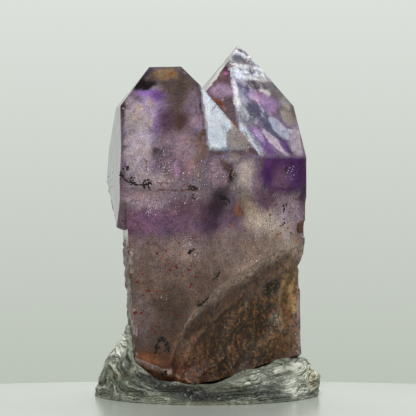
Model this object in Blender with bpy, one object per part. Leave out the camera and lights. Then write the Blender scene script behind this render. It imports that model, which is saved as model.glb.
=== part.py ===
"""Amethyst scepter: a twin-pointed quartz head on a broken stem, pressed into a lump of putty.

All dimensions are in millimetres.  Each piece is cut and joined at that scale and is then brought
to metres, +Z up, with the origin on the ground under the middle of the specimen.  The front of
the crystal looks along -Y.
"""

import math

import bmesh
import bpy
from mathutils import Matrix, Vector, noise

MM = 0.001

# Crystal system: prism faces stand every 60 degrees, rhombohedral faces above each of them
FRONT_LEFT_AZIMUTH = -21.3
FACE_STEP = 60.0
RHOMB_TILT = 38.2
FACE_ORDER = ("front_left", "front_right", "right", "back_right", "back_left", "left")

# Distance of each prism face of the head from the origin's vertical line
HEAD_PRISM = {
    "front_left": 18.55,
    "front_right": 14.55,
    "right": 17.95,
    "back_right": 18.20,
    "back_left": 18.55,
    "left": 17.65,
}

# Distance of each rhombohedral face from the origin, for the left and the right termination
LEFT_TIP_RHOMB = {
    "front_left": 41.55,
    "front_right": 39.90,
    "right": 34.15,
    "back_right": 34.70,
    "back_left": 43.20,
    "left": 46.50,
}
RIGHT_TIP_RHOMB = {
    "front_left": 35.45,
    "front_right": 39.20,
    "right": 47.10,
    "back_right": 48.40,
    "back_left": 42.95,
    "left": 35.30,
}

# Steep faces between prism and rhombohedron: face, tilt in degrees, distance from the origin
LEFT_TIP_STEEP = (("front_left", 14.7, 27.80), ("left", 4.5, 20.75))
RIGHT_TIP_STEEP = (("right", 5.0, 21.80),)

# Prism faces of the right termination stand this much proud of the left one's
RIGHT_TIP_PROUD = 0.05

# Underside of the head, where it overhangs the stem: face, downward tilt, distance
HEAD_UNDERSIDE = (
    ("front_left", -35.0, -6.05),
    ("front_right", -35.0, -9.40),
    ("left", -40.0, -5.90),
    ("back_left", -62.0, -26.60),
    ("back_right", -58.0, -23.40),
    ("right", -50.0, -12.20),
)

# Stem: face, tilt, distance
STEM_FACES = (
    ("front_left", 0.0, 18.51),
    ("front_right", 0.0, 14.51),
    ("right", -1.0, 17.10),
    ("back_right", -3.0, 9.30),
    ("back_left", -4.0, 3.40),
    ("left", -3.0, 14.60),
)
STEM_TOP = 38.0

# Broken foot of the stem: azimuth, tilt and distance of each break
FOOT_BREAKS = (
    (-25.0, -35.0, 10.45),
    (60.0, -72.0, -2.00),
    (-80.0, -61.0, 0.55),
    (170.0, -50.0, 4.50),
    (0.0, -90.0, -2.60),
)

# Shell-like scoops of the breakage: centre, radius, stretch, ripple pitch and height, subdivisions
SCOOPS = (
    ((103.72, 5.70, 60.75), 19.82, 6.42, 4.5, 0.12, 6),
    ((149.99, 14.47, 79.05), 31.06, 5.69, 4.0, 0.12, 6),
    ((16.5, -11.0, 20.0), 8.5, 1.0, 2.4, 0.08, 4),
    ((24.2, -1.0, 22.5), 7.4, 1.0, 2.2, 0.15, 4),
)
# The long scoops are stretched along the diagonal ridge that they leave on the front faces
SCOOP_RUN = Vector((-0.873, -0.219, -0.436)).normalized()
SCOOP_ROUGHNESS = 0.45
SCOOP_ROUGHNESS_SIZE = 5.0
# Each scoop reads the unevenness in a place of its own
SCOOP_NOISE_STEP = Vector((7.3, 0.0, 0.0))
# Direction, from a scoop's centre, of the point that was struck; the ripples ring it
SCOOP_STRIKE = Vector((-0.25, 0.85, -0.20)).normalized()

# Small pit with a stained rim on the right edge of the prism
EDGE_PIT_CENTRE = (18.6, -4.6, 31.3)
EDGE_PIT_RADIUS = 1.9
EDGE_PIT_SUBDIVISIONS = 2

# Putty: an uneven lump with a flat underside, squeezed up around the foot
PUTTY_HALF_WIDTH = 21.2
PUTTY_FRONT_DEPTH = 21.0
PUTTY_BACK_DEPTH = 17.0
PUTTY_SUBDIVISIONS = 5
PUTTY_GAP = 0.3
# The part of the crystal below this height is what the putty is pressed against
PUTTY_REACH = 24.0
# Longest move, in gaps, of a sharp corner when the foot is grown by the gap
PUTTY_CORNER_LIMIT = 1.6
# Azimuth, crown height and roundness of the lump's flank; between them the values turn smoothly
PUTTY_FLANKS = (
    (-180.0, 11.0, 2.2),
    (-120.0, 9.5, 2.2),
    (-85.0, 15.5, 1.8),
    (-58.0, 21.0, 2.2),
    (-28.0, 8.0, 2.4),
    (0.0, 4.4, 2.6),
    (45.0, 6.3, 3.0),
    (90.0, 9.4, 3.2),
    (135.0, 10.0, 2.6),
    (180.0, 11.0, 2.2),
)
PUTTY_LUMP_HEIGHT = 1.4
PUTTY_LUMP_SIZE = 7.0
PUTTY_FOLD_HEIGHT = 0.35
PUTTY_FOLD_PITCH = 2.6
PUTTY_FOLD_WAVER = 2.0
# Share of a swelling that goes upwards
PUTTY_SWELL_RISE = 0.5
# Flat ground under the putty: faces that lie within this angle of each other are one face
FLAT_ANGLE = math.radians(0.3)

AMETHYST_COLOUR = (0.33, 0.22, 0.42, 1.0)
AMETHYST_ROUGHNESS = 0.12
PUTTY_COLOUR = (0.36, 0.41, 0.38, 1.0)
PUTTY_ROUGHNESS = 0.45

# Side of the cube that the planes cut down, larger than any piece
BLOCK_SIZE = 400.0


def clear_scene():
    for old in list(bpy.data.objects):
        bpy.data.objects.remove(old, do_unlink=True)


def make_collection(name):
    group = bpy.data.collections.new(name)
    bpy.context.scene.collection.children.link(group)
    return group


def make_material(name, colour, roughness):
    material = bpy.data.materials.new(name)
    material.use_nodes = True
    shader = material.node_tree.nodes["Principled BSDF"]
    shader.inputs["Base Color"].default_value = colour
    shader.inputs["Roughness"].default_value = roughness
    shader.inputs["Metallic"].default_value = 0.0
    return material


def face_azimuth(face):
    return FRONT_LEFT_AZIMUTH + FACE_STEP * FACE_ORDER.index(face)


def face_normal(azimuth, tilt):
    """Unit vector; azimuth 0 looks to the front (-Y) and turns towards +X, tilt is upwards."""
    turn = math.radians(azimuth)
    lift = math.radians(tilt)
    return Vector((math.sin(turn) * math.cos(lift), -math.cos(turn) * math.cos(lift), math.sin(lift)))


def slice_block(faces):
    """A big cube cut down by planes; faces is a list of (normal, distance from the origin in mm)."""
    block = bmesh.new()
    bmesh.ops.create_cube(block, size=BLOCK_SIZE)
    for normal, distance in faces:
        whole = block.verts[:] + block.edges[:] + block.faces[:]
        cut = bmesh.ops.bisect_plane(
            block, geom=whole, plane_co=normal * distance, plane_no=normal, clear_outer=True
        )
        rim = [part for part in cut["geom_cut"] if isinstance(part, bmesh.types.BMEdge)]
        bmesh.ops.holes_fill(block, edges=rim, sides=0)
    bmesh.ops.recalc_face_normals(block, faces=block.faces[:])
    return block


def as_object(name, shape, collection):
    mesh = bpy.data.meshes.new(name)
    shape.to_mesh(mesh)
    shape.free()
    piece = bpy.data.objects.new(name, mesh)
    collection.objects.link(piece)
    return piece


def as_guide(piece):
    piece.hide_render = True
    piece.display_type = "WIRE"
    return piece


def combine(piece, others, operation):
    """Applies one exact Boolean for each of the other objects."""
    for other in others:
        step = piece.modifiers.new(operation.lower(), "BOOLEAN")
        step.operation = operation
        step.solver = "EXACT"
        step.object = other
        depsgraph = bpy.context.evaluated_depsgraph_get()
        joined = bpy.data.meshes.new_from_object(piece.evaluated_get(depsgraph))
        piece.modifiers.clear()
        piece.data = joined


def to_metres(pieces):
    for piece in pieces:
        piece.data.transform(Matrix.Scale(MM, 4))
        piece.data.update()


def named_faces(distances, tilt):
    return [(face_normal(face_azimuth(face), tilt), away) for face, away in distances.items()]


def tilted_faces(rows):
    return [(face_normal(face_azimuth(face), tilt), away) for face, tilt, away in rows]


def make_head(name, rhomb, steep, proud, collection):
    prism = {face: away + proud for face, away in HEAD_PRISM.items()}
    faces = named_faces(prism, 0.0) + named_faces(rhomb, RHOMB_TILT)
    faces += tilted_faces(steep) + tilted_faces(HEAD_UNDERSIDE)
    return as_object(name, slice_block(faces), collection)


def make_stem(collection):
    faces = tilted_faces(STEM_FACES)
    faces.append((Vector((0.0, 0.0, 1.0)), STEM_TOP))
    faces += [(face_normal(azimuth, tilt), away) for azimuth, tilt, away in FOOT_BREAKS]
    return as_object("stem_block", slice_block(faces), collection)


def make_scoop(index, centre, radius, stretch, pitch, height, subdivisions, collection):
    """A stretched ball whose skin carries rings of ripples and a slow unevenness."""
    ball = bmesh.new()
    bmesh.ops.create_icosphere(ball, subdivisions=subdivisions, radius=radius)
    for point in ball.verts:
        away = point.co.normalized()
        along_skin = radius * away.angle(SCOOP_STRIKE)
        ripple = height * math.sin(2.0 * math.pi * along_skin / pitch)
        uneven = noise.noise(point.co / SCOOP_ROUGHNESS_SIZE + SCOOP_NOISE_STEP * index)
        point.co = away * (radius + ripple + SCOOP_ROUGHNESS * uneven)
    place = Matrix.Translation(centre) @ Matrix.Scale(stretch, 4, SCOOP_RUN)
    bmesh.ops.transform(ball, matrix=place, verts=ball.verts)
    return as_guide(as_object(f"scoop_{index}", ball, collection))


def make_edge_pit(collection):
    ball = bmesh.new()
    bmesh.ops.create_icosphere(ball, subdivisions=EDGE_PIT_SUBDIVISIONS, radius=EDGE_PIT_RADIUS)
    bmesh.ops.translate(ball, vec=EDGE_PIT_CENTRE, verts=ball.verts)
    return as_guide(as_object("edge_pit", ball, collection))


def make_crystal(parts, cutters):
    crystal = make_head("amethyst_crystal", LEFT_TIP_RHOMB, LEFT_TIP_STEEP, 0.0, parts)
    right_tip = make_head("right_tip", RIGHT_TIP_RHOMB, RIGHT_TIP_STEEP, RIGHT_TIP_PROUD, cutters)
    stem = make_stem(cutters)
    combine(crystal, (right_tip, stem), "UNION")
    scoops = [make_scoop(index, *row, cutters) for index, row in enumerate(SCOOPS)]
    combine(crystal, scoops + [make_edge_pit(cutters)], "DIFFERENCE")
    bpy.data.objects.remove(right_tip)
    bpy.data.objects.remove(stem)
    crystal.data.materials.clear()
    crystal.data.materials.append(make_material("amethyst", AMETHYST_COLOUR, AMETHYST_ROUGHNESS))
    return crystal


def flank(azimuth):
    """Crown height and roundness of the putty in one direction."""
    for first, second in zip(PUTTY_FLANKS, PUTTY_FLANKS[1:]):
        if azimuth <= second[0]:
            break
    share = (azimuth - first[0]) / (second[0] - first[0])
    ease = 0.5 - 0.5 * math.cos(math.pi * min(1.0, max(0.0, share)))
    return [start + (end - start) * ease for start, end in zip(first[1:], second[1:])]


def putty_point(co):
    """Carries a point of the unit ball to the lump; the lower half of the ball goes flat."""
    reach = min(1.0, math.hypot(co.x, co.y))
    crown, roundness = flank(math.degrees(math.atan2(co.x, -co.y)))
    depth = PUTTY_FRONT_DEPTH if co.y < 0.0 else PUTTY_BACK_DEPTH
    spread = Vector((co.x * PUTTY_HALF_WIDTH, co.y * depth, 0.0))
    if co.z <= 0.0:
        return spread
    height = crown * (1.0 - reach**roundness) ** (1.0 / roundness)
    lump = noise.noise(Vector((spread.x, spread.y, height)) / PUTTY_LUMP_SIZE)
    fold = math.sin(2.0 * math.pi * (height + PUTTY_FOLD_WAVER * lump) / PUTTY_FOLD_PITCH)
    swell = PUTTY_LUMP_HEIGHT * lump + PUTTY_FOLD_HEIGHT * fold * reach
    swell *= min(1.0, height / PUTTY_FOLD_PITCH)
    raised = Vector((0.0, 0.0, height + PUTTY_SWELL_RISE * swell))
    return spread * (1.0 + swell / PUTTY_HALF_WIDTH) + raised


def make_clearance(crystal, collection):
    """The crystal's foot grown by the gap, to press its hollow into the putty."""
    foot = bmesh.new()
    foot.from_mesh(crystal.data)
    bmesh.ops.bisect_plane(
        foot,
        geom=foot.verts[:] + foot.edges[:] + foot.faces[:],
        plane_co=(0.0, 0.0, PUTTY_REACH),
        plane_no=(0.0, 0.0, 1.0),
        clear_outer=True,
    )
    bmesh.ops.holes_fill(foot, edges=[edge for edge in foot.edges if edge.is_boundary], sides=0)
    bmesh.ops.triangulate(foot, faces=foot.faces[:])
    foot.normal_update()
    for point in foot.verts:
        point.co += point.normal * PUTTY_GAP * min(PUTTY_CORNER_LIMIT, point.calc_shell_factor())
    return as_guide(as_object("crystal_clearance", foot, collection))


def make_putty(crystal, parts, cutters):
    lump = bmesh.new()
    bmesh.ops.create_icosphere(lump, subdivisions=PUTTY_SUBDIVISIONS, radius=1.0)
    for point in lump.verts:
        point.co = putty_point(point.co)
    bmesh.ops.dissolve_limit(lump, angle_limit=FLAT_ANGLE, verts=lump.verts[:], edges=lump.edges[:])
    putty = as_object("putty_base", lump, parts)
    combine(putty, [make_clearance(crystal, cutters)], "DIFFERENCE")
    putty.data.materials.clear()
    putty.data.materials.append(make_material("putty", PUTTY_COLOUR, PUTTY_ROUGHNESS))
    return putty


def main():
    clear_scene()
    parts = make_collection("amethyst_scepter")
    cutters = make_collection("cutters")
    crystal = make_crystal(parts, cutters)
    make_putty(crystal, parts, cutters)
    to_metres(parts.objects[:] + cutters.objects[:])


main()
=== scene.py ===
import math

import bmesh
import bpy
import numpy as np
from mathutils import Matrix, Vector
from mathutils.bvhtree import BVHTree


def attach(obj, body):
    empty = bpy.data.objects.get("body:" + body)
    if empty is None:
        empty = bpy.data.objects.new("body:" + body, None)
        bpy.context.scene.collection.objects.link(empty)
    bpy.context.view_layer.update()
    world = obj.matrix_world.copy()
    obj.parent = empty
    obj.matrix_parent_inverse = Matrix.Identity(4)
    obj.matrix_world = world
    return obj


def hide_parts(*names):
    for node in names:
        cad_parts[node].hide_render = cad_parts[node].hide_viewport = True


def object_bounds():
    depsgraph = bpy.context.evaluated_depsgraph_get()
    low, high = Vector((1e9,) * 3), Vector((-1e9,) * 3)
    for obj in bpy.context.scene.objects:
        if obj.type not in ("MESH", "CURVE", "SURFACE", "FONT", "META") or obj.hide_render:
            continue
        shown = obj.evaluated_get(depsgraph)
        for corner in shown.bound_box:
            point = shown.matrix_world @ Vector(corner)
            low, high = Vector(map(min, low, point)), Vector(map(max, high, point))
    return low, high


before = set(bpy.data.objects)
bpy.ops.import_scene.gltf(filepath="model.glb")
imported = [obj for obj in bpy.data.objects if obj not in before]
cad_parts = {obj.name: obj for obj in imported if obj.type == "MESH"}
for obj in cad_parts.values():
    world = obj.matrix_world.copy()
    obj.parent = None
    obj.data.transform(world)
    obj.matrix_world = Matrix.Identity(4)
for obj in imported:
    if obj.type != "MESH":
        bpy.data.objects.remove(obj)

# Amethyst scepter: finish of the crystal and its putty, inclusions, lights and camera.
# Lengths in the dictionaries are millimetres; meshes are in metres like the frame.

mm = 0.001
pixelSize = 0.18                # millimetres of the crystal that one pixel of the picture shows
tiny = 1e-7                     # metres, closer than this is the same point
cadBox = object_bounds()
print("frame loaded:", list(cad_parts))


def linked(name, data):
    # a new object in the scene that carries the data
    piece = bpy.data.objects.new(name, data)
    bpy.context.scene.collection.objects.link(piece)
    return piece


# The camera: a long lens level with the upper part of the crystal
cameraSetup = {
    "pictureSide": 416,             # pixels
    "place": (0.36, -421.2, 43.2),
    "pixelsPerUnit": 2230.0,        # picture distance of the lens, in pixels
    "pitch": 1.105,                 # degrees below level
    "sensor": 36.0,
    "nearest": 10.0,                # closest distance that it shows
}
cameraPlace = Vector(cameraSetup["place"]) * mm


def makeCamera(setup):
    # lens length: picture distance over picture side, times the sensor's side
    data = bpy.data.cameras.new("camera")
    data.sensor_width = setup["sensor"]
    data.lens = setup["pixelsPerUnit"] / setup["pictureSide"] * setup["sensor"]
    data.clip_start = setup["nearest"] * mm
    data.dof.use_dof = False
    camera = linked("camera", data)
    camera.location = cameraPlace
    camera.rotation_euler = (math.radians(90.0 - setup["pitch"]), 0.0, 0.0)
    bpy.context.scene.camera = camera


def lookThrough(x, y):
    # unit direction from the camera through a pixel: offset from the middle, tilted by the pitch
    half = cameraSetup["pictureSide"] / 2
    look = Vector((x - half, half - y, -cameraSetup["pixelsPerUnit"]))
    look.rotate(Matrix.Rotation(math.radians(90.0 - cameraSetup["pitch"]), 3, "X"))
    return look.normalized()


makeCamera(cameraSetup)
print("camera set")


# Numpy helpers

def smoothStep(low, high, value):
    # cubic ease of (value - low) / (high - low), held between 0 and 1
    share = np.clip((value - low) / (high - low), 0.0, 1.0)
    return share * share * (3.0 - 2.0 * share)


def easeBetween(low, high, value):
    # the same ease of a length in metres, with its limits in millimetres
    return smoothStep(low * mm, high * mm, value)


# Factors that scatter the corners of the noise's lattice
latticeMix = {"steps": (374761393, 668265263, 2147483647), "turn": 1274126177, "range": 0xFFFFFF}


def latticeNoise(points, size, seed):
    # value noise: random numbers at the corners of a cube lattice, eased between them
    cell = points / (size * mm)
    base = np.floor(cell).astype(np.int64)
    part = cell - base
    part = part * part * (3.0 - 2.0 * part)
    total = np.zeros(len(points))
    for corner in range(8):
        step = np.array([corner & 1, (corner >> 1) & 1, (corner >> 2) & 1])
        key = base + step
        mixed = sum(key[:, axis] * factor for axis, factor in enumerate(latticeMix["steps"]))
        mixed = mixed + seed * latticeMix["turn"]
        mixed = (mixed ^ (mixed >> 13)) * latticeMix["turn"]
        mixed = mixed ^ (mixed >> 16)
        value = (mixed & latticeMix["range"]) / latticeMix["range"]
        total += np.prod(np.where(step, part, 1.0 - part), axis=1) * value
    return total * 2.0 - 1.0


def layeredNoise(points, size, layers, seed):
    # sum of value noises, each half the size and half the height of the one before
    total = np.zeros(len(points))
    for layer in range(layers):
        total += latticeNoise(points, size / 2 ** layer, seed + layer) / 2 ** layer
    return total


# Meshes

def meshObject(name, points, faces, material):
    # an object made of rows of points and rows of corners
    mesh = bpy.data.meshes.new(name)
    mesh.from_pydata(points.tolist(), [], faces.tolist())
    mesh.materials.append(material)
    return linked(name, mesh)


def readRows(mesh, field):
    # three numbers for every vertex: "co" is its place, "normal" its normal
    flat = np.empty(len(mesh.vertices) * 3)
    mesh.vertices.foreach_get(field, flat)
    return flat.reshape(-1, 3)


def storeMask(mesh, name, values):
    # one number for every vertex
    layer = mesh.attributes.new(name, "FLOAT", "POINT")
    layer.data.foreach_set("value", values.astype(np.float32))


def storeColour(mesh, colour):
    # linear colour of every vertex, under the name tone
    layer = mesh.color_attributes.new("tone", "FLOAT_COLOR", "POINT")
    rows = np.column_stack([colour, np.ones(len(colour))])
    layer.data.foreach_set("color", rows.ravel().astype(np.float32))


def mergedCopy(node):
    # copy of a solid with its loose triangles joined
    shape = bmesh.new()
    shape.from_mesh(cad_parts[node].data)
    bmesh.ops.remove_doubles(shape, verts=shape.verts[:], dist=tiny)
    return shape


firstCut = 0.37                 # of a pitch; keeps the cuts off the solids' own corners


def skinMesh(name, shape, pitch):
    # faces cut along planes that stand a pitch apart on the three axes, as triangles
    (low, high), step = cadBox, pitch * mm
    for axis in range(3):
        normal = Vector([float(axis == other) for other in range(3)])
        for place in np.arange(low[axis] + firstCut * step, high[axis], step):
            bmesh.ops.bisect_plane(
                shape, geom=shape.verts[:] + shape.edges[:] + shape.faces[:],
                plane_co=normal * float(place), plane_no=normal, dist=tiny,
            )
    bmesh.ops.triangulate(shape, faces=shape.faces[:])
    mesh = bpy.data.meshes.new(name)
    shape.to_mesh(mesh)
    shape.free()
    return mesh


def skinObject(mesh, material, sharpAngle):
    # smooth skin whose edges are sharp where it turns by more than the angle
    mesh.update()
    mesh.shade_smooth()
    mesh.set_sharp_from_angle(angle=math.radians(sharpAngle))
    mesh.materials.clear()
    mesh.materials.append(material)
    print(mesh.name + ":", len(mesh.polygons), "triangles")
    return linked(mesh.name, mesh)


# Node helpers

class NodeSheet:
    def __init__(self, name):
        self.material = bpy.data.materials.new(name)
        self.material.use_nodes = True
        self.nodes = self.material.node_tree.nodes
        self.links = self.material.node_tree.links
        self.shader = self.nodes["Principled BSDF"]
        self.output = self.nodes["Material Output"]
        self.coords = self.nodes.new("ShaderNodeTexCoord").outputs["Object"]

    def put(self, socket, value):
        # links a socket, or sets a number or colour
        if isinstance(value, bpy.types.NodeSocket):
            self.links.new(value, socket)
        else:
            socket.default_value = value

    def maths(self, operation, first, second=0.0):
        # one operation on one or two numbers
        node = self.nodes.new("ShaderNodeMath")
        node.operation = operation
        self.put(node.inputs[0], first)
        self.put(node.inputs[1], second)
        return node.outputs[0]

    def noise(self, size, detail=3.0, rough=0.55, place=(0, 0, 0), stretch=(1, 1, 1)):
        # noise with cells of a size in mm, on the piece's own coordinates, moved and stretched
        moved = self.nodes.new("ShaderNodeMapping")
        moved.vector_type = "TEXTURE"
        self.put(moved.inputs["Vector"], self.coords)
        moved.inputs["Location"].default_value = place
        moved.inputs["Scale"].default_value = stretch
        node = self.nodes.new("ShaderNodeTexNoise")
        self.put(node.inputs["Vector"], moved.outputs["Vector"])
        node.inputs["Scale"].default_value = 1.0 / (size * mm)
        node.inputs["Detail"].default_value = detail
        node.inputs["Roughness"].default_value = rough
        return node.outputs["Fac"]

    def ease(self, value, low, high, fromOne=0.0, toOne=1.0):
        # eases from one result at low to the other at high
        node = self.nodes.new("ShaderNodeMapRange")
        node.interpolation_type = "SMOOTHSTEP"
        self.put(node.inputs["Value"], value)
        limits = {"From Min": low, "From Max": high, "To Min": fromOne, "To Max": toOne}
        for name, limit in limits.items():
            node.inputs[name].default_value = limit
        return node.outputs[0]

    def blend(self, amount, first, second, mode="MIX"):
        # from the first colour to the second by the amount
        node = self.nodes.new("ShaderNodeMix")
        node.data_type = "RGBA"
        node.blend_type = mode
        self.put(node.inputs["Factor"], amount)
        self.put(node.inputs[6], first)
        self.put(node.inputs[7], second)
        return node.outputs[2]

    def scaled(self, colour, factors, amount):
        # the colour times red, green and blue factors, mixed in by an amount
        times = self.blend(1.0, colour, (*factors, 1.0), "MULTIPLY")
        return self.blend(amount, colour, times)

    def attribute(self, name, output="Fac"):
        # the number or colour stored for each vertex
        node = self.nodes.new("ShaderNodeAttribute")
        node.attribute_name = name
        return node.outputs[output]

    def bump(self, height, distance, strength, normal=None):
        # bends the normal by the slope of a height from 0 to 1 that spans a distance in mm
        node = self.nodes.new("ShaderNodeBump")
        node.inputs["Strength"].default_value = strength
        node.inputs["Distance"].default_value = distance * mm
        self.put(node.inputs["Height"], height)
        if normal is not None:
            self.put(node.inputs["Normal"], normal)
        return node.outputs["Normal"]


def tint(red, green, blue):
    # picture colour 0 to 255 as a linear colour
    share = np.array([red, green, blue]) / 255.0
    linear = np.where(share <= 0.04045, share / 12.92, ((share + 0.055) / 1.055) ** 2.4)
    return (*[float(value) for value in linear], 1.0)


# The crystal: its grown faces as azimuth, tilt and distance from the origin, from the solid

azimuths = [-21.3 + 60.0 * step for step in range(6)]   # front left, then towards the right
prismAway = (18.55, 14.55, 17.95, 18.20, 18.55, 17.65)
undersides = ((-21.3, -35.0, -6.05), (38.7, -35.0, -9.40), (-81.3, -40.0, -5.90),
              (218.7, -62.0, -26.60), (158.7, -58.0, -23.40), (98.7, -50.0, -12.20))
grownHulls = {
    "leftTip": [(a, 0.0, d) for a, d in zip(azimuths, prismAway)]
    + [(a, 38.2, d) for a, d in zip(azimuths, (41.55, 39.90, 34.15, 34.70, 43.20, 46.50))]
    + [(-21.3, 14.7, 27.80), (-81.3, 4.5, 20.75), *undersides],
    "rightTip": [(a, 0.0, d + 0.05) for a, d in zip(azimuths, prismAway)]
    + [(a, 38.2, d) for a, d in zip(azimuths, (35.45, 39.20, 47.10, 48.40, 42.95, 35.30))]
    + [(98.7, 5.0, 21.80), *undersides],
    "stem": [(a, t, d) for a, t, d in zip(
        azimuths, (0.0, 0.0, -1.0, -3.0, -4.0, -3.0), (18.51, 14.51, 17.10, 9.30, 3.40, 14.60))]
    + [(0.0, 90.0, 38.0)],
}


def faceTable(rows):
    # outward unit normals and distances of a list of faces
    turn, lift, away = np.array(rows, dtype=float).T
    turn, lift = np.radians(turn), np.radians(lift)
    level = np.cos(lift)
    normals = np.stack([np.sin(turn) * level, -np.cos(turn) * level, np.sin(lift)], axis=1)
    return normals, away * mm


def hullDepths(points, name):
    # how far each point lies below each grown face of one hull
    normals, away = faceTable(grownHulls[name])
    return away[None, :] - points @ normals.T


def depthBelowGrown(points):
    # depth under the nearest grown face, in the hull that the point is deepest in
    return np.max([hullDepths(points, name).min(axis=1) for name in grownHulls], axis=0)


crystalMake = {
    "flatAngle": 0.05,                  # faces that turn less than this become one
    "slicePitch": 0.45,                 # grid that the flat faces are cut into
    "planeGap": 0.12,                   # front prism planes closer than this become one
    "brokenFrom": (0.08, 0.5),          # depth under the grown faces where the break begins
    "underFrom": (0.3, 0.6),            # how far a face looks down, as an underside
    "sideFrom": (-0.75, -0.95),         # how far a face looks left, as the crumbly side
    "sideTop": (31.0, 27.0),            # heights between which the crumbly side ends
    "brokenHeight": 0.42,               # relief of the broken surface
    "brokenNoise": (3.4, 3, 11),        # noises: size, layers, seed
    "hackleHeight": 0.13,
    "hackleNoise": (0.9, 2, 23),
    "faceHeight": 0.018,                # relief of the grown faces
    "faceNoise": (2.5, 2, 37),
    "sideHeight": 0.4,                  # relief of the crumbly side
    "sideNoise": (1.3, 2, 61),
    "chipReach": (0.9, 0.1),            # distance from a stem edge where chips begin
    "chipTop": (33.0, 29.0),
    "chipAcross": (7.0, 9.5),
    "chipDepth": 0.55,
    "chipNoise": (1.7, 3, 53),
    "chipSpots": (-0.1, 0.7),           # values of the noise where a chip begins and is whole
    "tipWear": 0.18,                    # relief of the etched right tip
    "tipHeights": ((59.5, 61.0), (66.2, 65.0)),
    "tipAcross": (2.0, 5.0),
    "tipNoise": (1.5, 3, 71),
    "tipSpots": (-0.2, 0.6),
    "footHeights": (15.0, 8.0),         # heights between which the foot begins to hang lower
    "sharpAngle": 16.0,
}


def evenPrism(points, gap):
    # brings the three front prism planes, which lie 0.04 to 0.09 mm apart, onto the outermost
    normals, away = faceTable(grownHulls["rightTip"][:2])
    for normal, distance in zip(normals, away):
        below = distance - points @ normal
        points = points + np.where(np.abs(below) < gap * mm, below, 0.0)[:, None] * normal
    return points


def lineDistance(seen, corners):
    # distance in mm of each pixel from a line through the corners
    nearest = np.full(len(seen), np.inf)
    for first, second in zip(np.array(corners[:-1], float), np.array(corners[1:], float)):
        run = second - first
        share = np.clip((seen - first) @ run / (run @ run), 0.0, 1.0)
        nearest = np.minimum(nearest, np.hypot(*(seen - first - share[:, None] * run).T))
    return nearest * pixelSize


# Low ridges on the broken surface: line of pixels, half width and height in mm, colour
brokenRidges = (
    # the first line has no height: a painted highlight along the crest of the break
    (((293, 249), (272, 258), (252, 270), (237, 280), (218, 293), (203, 305), (188, 319),
      (180, 334), (175, 348)), 1.2, 0.0, (230, 206, 190)),
    (((290, 258), (262, 276), (235, 294), (212, 312), (195, 330), (183, 350)),
     1.3, 0.0, (122, 96, 86)),
    (((287, 266), (252, 286), (228, 306), (208, 323), (193, 340), (186, 355)),
     0.5, 0.3, (134, 104, 84)),
    (((272, 300), (250, 304), (232, 322), (222, 345)), 0.8, 0.25, (74, 52, 28)),
    (((288, 268), (283, 285), (278, 305), (284, 330)), 0.5, 0.35, (138, 108, 66)),
    (((296, 270), (292, 290), (295, 312)), 0.45, 0.35, (176, 146, 96)),
    (((262, 345), (282, 330), (300, 332)), 0.7, 0.3, (116, 88, 54)),
)

# How far the foot hangs lower than the solid's flat underside: place from left to right, drop
footDrop = (
    (-13.7, 0.0), (-10.8, 1.1), (-8.3, 1.8), (-6.5, 1.9), (-4.7, 1.3), (-2.3, 0.8), (1.1, 0.9),
    (3.4, 0.8), (6.1, 0.7), (10.1, 0.2), (13.3, 0.0),
)
footFront = (4.0, -2.0)         # places from back to front between which the drop grows to its full


def lowerFoot(points, still, moved):
    # moves front points down by the drop for their place, from none at height still to all at moved
    across, drop = np.array(footDrop).T * mm
    share = easeBetween(still, moved, points[:, 2]) * easeBetween(*footFront, points[:, 1])
    points[:, 2] -= np.interp(points[:, 0], across, drop) * share
    return points


def makeCrystal(setup, material):
    # the solid's faces cut fine, then moved along their normals by the relief of each part
    shape = mergedCopy("amethyst_crystal")
    bmesh.ops.dissolve_limit(
        shape, angle_limit=math.radians(setup["flatAngle"]),
        verts=shape.verts[:], edges=shape.edges[:],
    )
    mesh = skinMesh("amethyst_skin", shape, setup["slicePitch"])
    points = evenPrism(readRows(mesh, "co"), setup["planeGap"])
    mesh.vertices.foreach_set("co", points.ravel())
    mesh.update()
    normals, height = readRows(mesh, "normal"), points[:, 2]
    broken = easeBetween(*setup["brokenFrom"], depthBelowGrown(points))
    under = smoothStep(*setup["underFrom"], -normals[:, 2])
    side = smoothStep(*setup["sideFrom"], normals[:, 0]) * easeBetween(*setup["sideTop"], height)
    rough = np.maximum(broken, 0.5 * np.maximum(under, side))
    # broken skin: ridged slow noise plus fine hackles; grown faces: a very low swell
    slow = 1.0 - 2.0 * np.abs(layeredNoise(points, *setup["brokenNoise"]))
    fine = layeredNoise(points, *setup["hackleNoise"])
    relief = 0.5 * rough * (setup["brokenHeight"] * slow + setup["hackleHeight"] * fine)
    relief += (1.0 - rough) * setup["faceHeight"] * layeredNoise(points, *setup["faceNoise"])
    relief += side * setup["sideHeight"] * layeredNoise(points, *setup["sideNoise"])
    # chips along the stem's upright edges, where the second nearest face is close
    secondFace = np.sort(hullDepths(points, "stem"), axis=1)[:, 1]
    chip = easeBetween(*setup["chipTop"], height) * easeBetween(*setup["chipReach"], secondFace)
    chip *= easeBetween(*setup["chipAcross"], np.abs(points[:, 0]))
    chip *= smoothStep(*setup["chipSpots"], layeredNoise(points, *setup["chipNoise"]))
    relief -= setup["chipDepth"] * chip
    seen = pictureOf(points)
    for corners, width, ridgeHeight, _ in brokenRidges:
        relief += ridgeHeight * rough * np.exp(-(lineDistance(seen, corners) / width) ** 2)
    # wear of the right tip: pitted above the last clear growth line
    start, end = setup["tipHeights"]
    tip = easeBetween(*start, height) * easeBetween(*end, height)
    tip *= easeBetween(*setup["tipAcross"], points[:, 0])
    pits = smoothStep(*setup["tipSpots"], layeredNoise(points, *setup["tipNoise"]))
    relief -= setup["tipWear"] * tip * pits
    points = lowerFoot(points + normals * relief[:, None] * mm, *setup["footHeights"])
    mesh.vertices.foreach_set("co", points.ravel())
    storeMask(mesh, "broken", np.clip(rough + chip, 0.0, 1.0))
    paintCrystal(mesh, crystalFinish)
    return skinObject(mesh, material, setup["sharpAngle"])


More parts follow.
